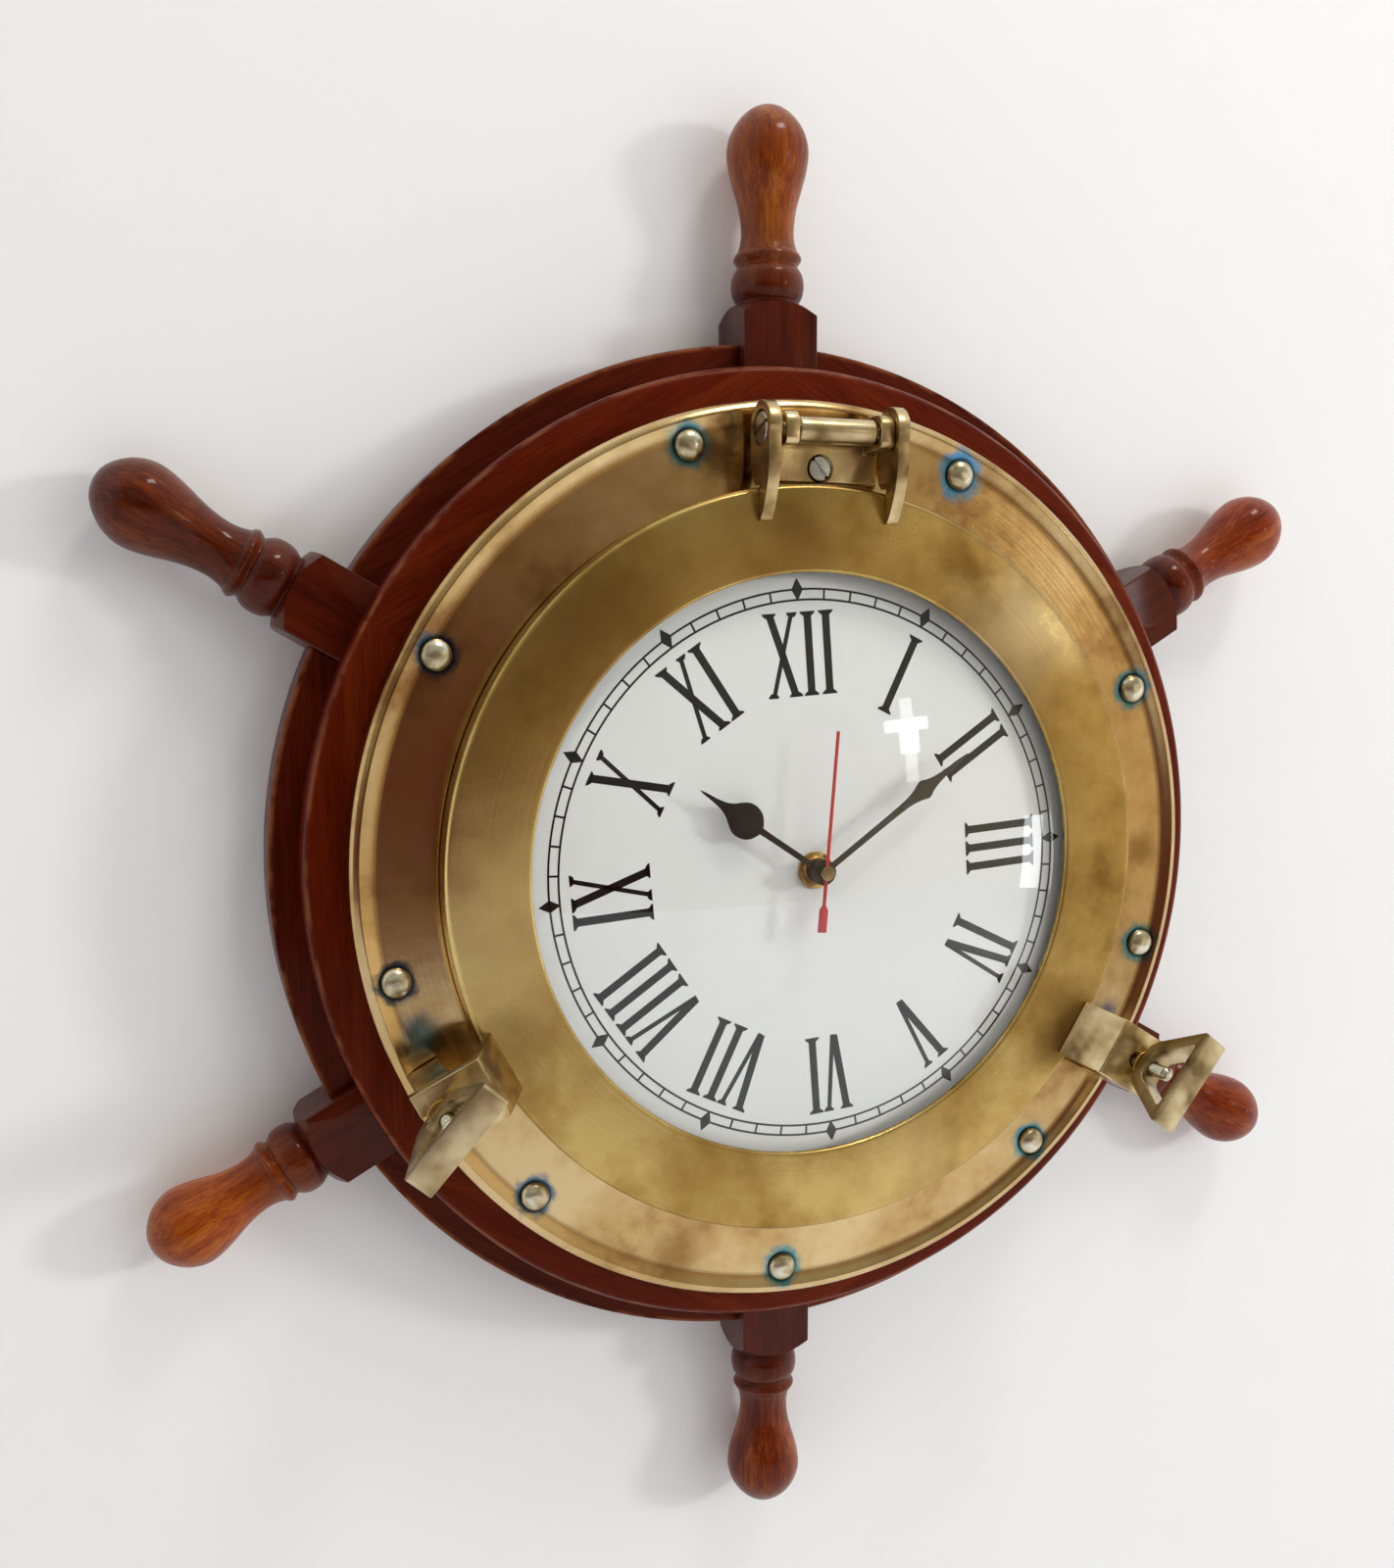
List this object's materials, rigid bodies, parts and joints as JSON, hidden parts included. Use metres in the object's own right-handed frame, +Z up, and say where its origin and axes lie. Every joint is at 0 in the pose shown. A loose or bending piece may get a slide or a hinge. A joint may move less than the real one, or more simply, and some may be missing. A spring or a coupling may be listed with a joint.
{
  "type": "ship wheel clock",
  "caption": "Wall clock in a spoked wooden ship's wheel, with a riveted brass porthole whose hinged glass door is held by two dog clamps.",
  "frame": {"origin": "where the nail's shank holds the hanger plate's keyhole, in the plane of the wall", "axes": "+Z up the wall, -Y out of the wall towards the viewer, +X to the viewer's right"},
  "size_m": [0.539, 0.1183, 0.6101],
  "materials": {
    "mahogany_ring": "gloss lacquer over dark red-brown stain",
    "mahogany_spoke": "gloss lacquer over red-brown stain",
    "flange_brass": "antiqued, hand rubbed",
    "door_brass": "antiqued, hand rubbed",
    "fitting_brass": "antiqued sand casting",
    "rivet_nickel": "tumbled, dulled",
    "stud_steel": "plated",
    "screw_steel": "plated",
    "window_glass": "clear",
    "gasket_rubber": "matte",
    "dial_white": "satin print",
    "hand_black": "satin",
    "hand_red": "satin",
    "case_black": "fine texture",
    "gear_nylon": "moulded",
    "magnet_steel": "ground",
    "cell_label": "printed sleeve",
    "board_green": "solder mask",
    "coil_copper": "enamelled winding"
  },
  "bodies": {
    "wheel": {"rear_ring": "mahogany_ring", "front_ring": "mahogany_ring", "spoke_1": "mahogany_spoke", "spoke_2": "mahogany_spoke", "spoke_3": "mahogany_spoke", "spoke_4": "mahogany_spoke", "spoke_5": "mahogany_spoke", "spoke_6": "mahogany_spoke", "porthole_flange": "flange_brass", "flange_rivet_1": "rivet_nickel", "flange_rivet_2": "rivet_nickel", "flange_rivet_3": "rivet_nickel", "flange_rivet_4": "rivet_nickel", "flange_rivet_5": "rivet_nickel", "flange_rivet_6": "rivet_nickel", "flange_rivet_7": "rivet_nickel", "flange_rivet_8": "rivet_nickel", "flange_rivet_9": "rivet_nickel", "hinge_bracket": "fitting_brass", "hinge_bracket_screw": "screw_steel", "hinge_sleeve": "fitting_brass", "clamp_keeper_left": "fitting_brass", "clamp_keeper_right": "fitting_brass", "hanger_plate": "screw_steel", "hanger_screw_1": "screw_steel", "hanger_screw_2": "screw_steel", "dial_plate": "dial_white", "movement_case": "case_black", "movement_cover": "case_black", "movement_nut": "fitting_brass", "battery": "cell_label", "battery_cradle": "screw_steel", "circuit_board": "board_green", "coil": "coil_copper"},
    "door": {"door_ring": "door_brass", "glass_retainer": "door_brass", "glass": "window_glass", "glass_gasket": "gasket_rubber", "hinge_arm_left": "fitting_brass", "hinge_arm_right": "fitting_brass", "hinge_pin": "fitting_brass", "clamp_lug_left": "fitting_brass", "clamp_lug_right": "fitting_brass", "dog_stud_left": "stud_steel", "dog_stud_right": "stud_steel"},
    "left_washer": {"dog_washer_left": "fitting_brass"},
    "left_nut": {"dog_nut_left": "fitting_brass"},
    "right_washer": {"dog_washer_right": "fitting_brass"},
    "right_nut": {"dog_nut_right": "fitting_brass"},
    "seconds": {"second_wheel": "gear_nylon", "second_hand": "hand_red"},
    "minutes": {"centre_wheel": "gear_nylon", "minute_hand": "hand_black"},
    "hours": {"hour_wheel": "gear_nylon", "hour_hand": "hand_black"},
    "third": {"third_wheel": "gear_nylon"},
    "reduction": {"minute_wheel": "gear_nylon"},
    "setting": {"set_knob": "case_black"},
    "step": {"step_wheel": "gear_nylon"},
    "motor": {"rotor": "magnet_steel"}
  },
  "joints": [
    {"name": "door_hinge", "type": "hinge", "parent": "wheel", "child": "door", "pos_m": [0.0037, -0.0714, -0.0278], "axis": [-1, 0, 0], "range_deg": [0, 110]},
    {"name": "left_clamp_travel", "type": "slide", "parent": "door", "child": "left_washer", "axis": [-0.0468, -0.9986, -0.0239], "range_m": [0, 0.00375]},
    {"name": "left_clamp_spin", "type": "hinge", "parent": "left_washer", "child": "left_nut", "pos_m": [-0.15768, -0.08732, -0.27934], "axis": [-0.0468, -0.9986, -0.0239], "range_deg": [0, 1081]},
    {"name": "right_clamp_travel", "type": "slide", "parent": "door", "child": "right_washer", "axis": [0.0449, -0.9986, -0.0273], "range_m": [0, 0.00375]},
    {"name": "right_clamp_spin", "type": "hinge", "parent": "right_washer", "child": "right_nut", "pos_m": [0.15121, -0.08732, -0.29094], "axis": [0.0449, -0.9986, -0.0273], "range_deg": [0, 1081]},
    {"name": "second_spin", "type": "hinge", "parent": "wheel", "child": "seconds", "pos_m": [0.0027, -0.0584, -0.1994], "axis": [0, 1, 0], "continuous": true},
    {"name": "minute_spin", "type": "hinge", "parent": "wheel", "child": "minutes", "pos_m": [0.0027, -0.0584, -0.1994], "axis": [0, 1, 0], "continuous": true},
    {"name": "hour_spin", "type": "hinge", "parent": "wheel", "child": "hours", "pos_m": [0.0027, -0.0584, -0.1994], "axis": [0, 1, 0], "continuous": true},
    {"name": "third_spin", "type": "hinge", "parent": "wheel", "child": "third", "pos_m": [0.0129, -0.0453, -0.1994], "axis": [0, 1, 0], "continuous": true},
    {"name": "reduction_spin", "type": "hinge", "parent": "wheel", "child": "reduction", "pos_m": [0.0027, -0.0453, -0.1922], "axis": [0, 1, 0], "continuous": true},
    {"name": "setting_spin", "type": "hinge", "parent": "wheel", "child": "setting", "pos_m": [0.0027, -0.0453, -0.185], "axis": [0, 1, 0], "continuous": true},
    {"name": "step_spin", "type": "hinge", "parent": "wheel", "child": "step", "pos_m": [-0.0035, -0.0453, -0.19575], "axis": [0, 1, 0], "continuous": true},
    {"name": "motor_spin", "type": "hinge", "parent": "wheel", "child": "motor", "pos_m": [-0.0111, -0.0453, -0.19217], "axis": [0, 1, 0], "continuous": true}
  ],
  "couplings": [
    {"joint": "left_clamp_spin", "follows": "left_clamp_travel", "rad_per_m": 5026.5},
    {"joint": "right_clamp_spin", "follows": "right_clamp_travel", "rad_per_m": 5026.5},
    {"joint": "minute_spin", "follows": "second_spin", "ratio": 0.016667},
    {"joint": "hour_spin", "follows": "second_spin", "ratio": 0.0013889},
    {"joint": "third_spin", "follows": "second_spin", "ratio": -0.13333},
    {"joint": "reduction_spin", "follows": "second_spin", "ratio": -0.0055556},
    {"joint": "setting_spin", "follows": "second_spin", "ratio": 0.016667},
    {"joint": "step_spin", "follows": "second_spin", "ratio": -5},
    {"joint": "motor_spin", "follows": "second_spin", "ratio": 30}
  ]
}
